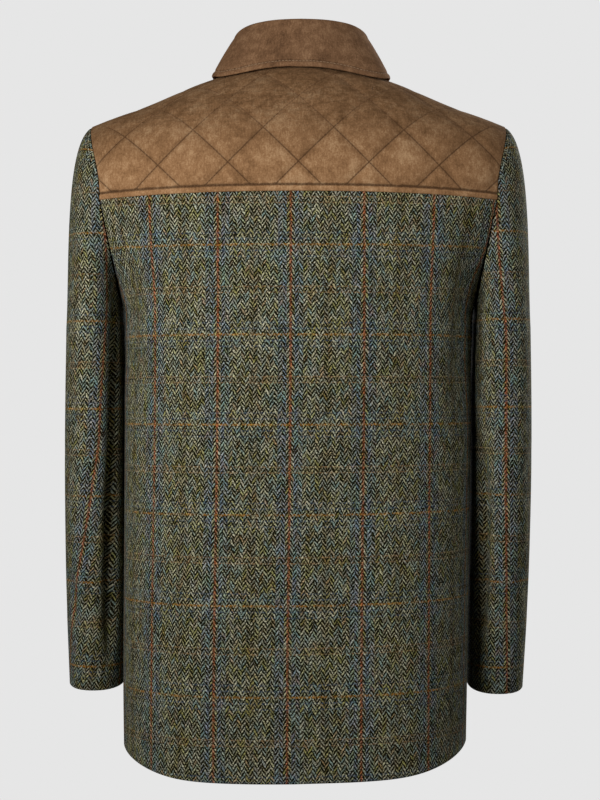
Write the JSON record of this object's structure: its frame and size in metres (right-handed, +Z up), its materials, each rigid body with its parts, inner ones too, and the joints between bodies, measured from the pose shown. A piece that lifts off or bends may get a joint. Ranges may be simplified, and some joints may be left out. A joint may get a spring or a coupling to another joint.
{
  "type": "tweed field coat",
  "caption": "Hip-length tweed field coat, filled out and hollow, with a quilted suede back yoke, a suede fold-over collar, set-in sleeves and a buttoned front.",
  "frame": {"origin": "middle of the neck opening, just above the points where the shoulders meet the neck, where a wearer carries the coat", "axes": "+Z up through the neck, -Y out of the coat's back, +Y out of its buttoned front, +X to the wearer's right"},
  "size_m": [0.5398, 0.3026, 0.8487],
  "materials": {
    "tweed": "green-brown wool herringbone with a windowpane overcheck",
    "yoke_suede": "tan brushed suede cloth, quilted in diamonds",
    "collar_suede": "brown brushed suede cloth",
    "horn": "dark brown horn-like button"
  },
  "bodies": {
    "root": {"back_panel": "tweed", "front_left": "tweed", "front_right": "tweed", "sleeve_left_top": "tweed", "sleeve_left_under": "tweed", "sleeve_right_top": "tweed", "sleeve_right_under": "tweed", "back_yoke": "yoke_suede", "collar_stand": "collar_suede", "collar_leaf": "collar_suede", "button_1": "horn", "button_2": "horn", "button_3": "horn", "button_4": "horn", "button_5": "horn"}
  },
  "joints": []
}
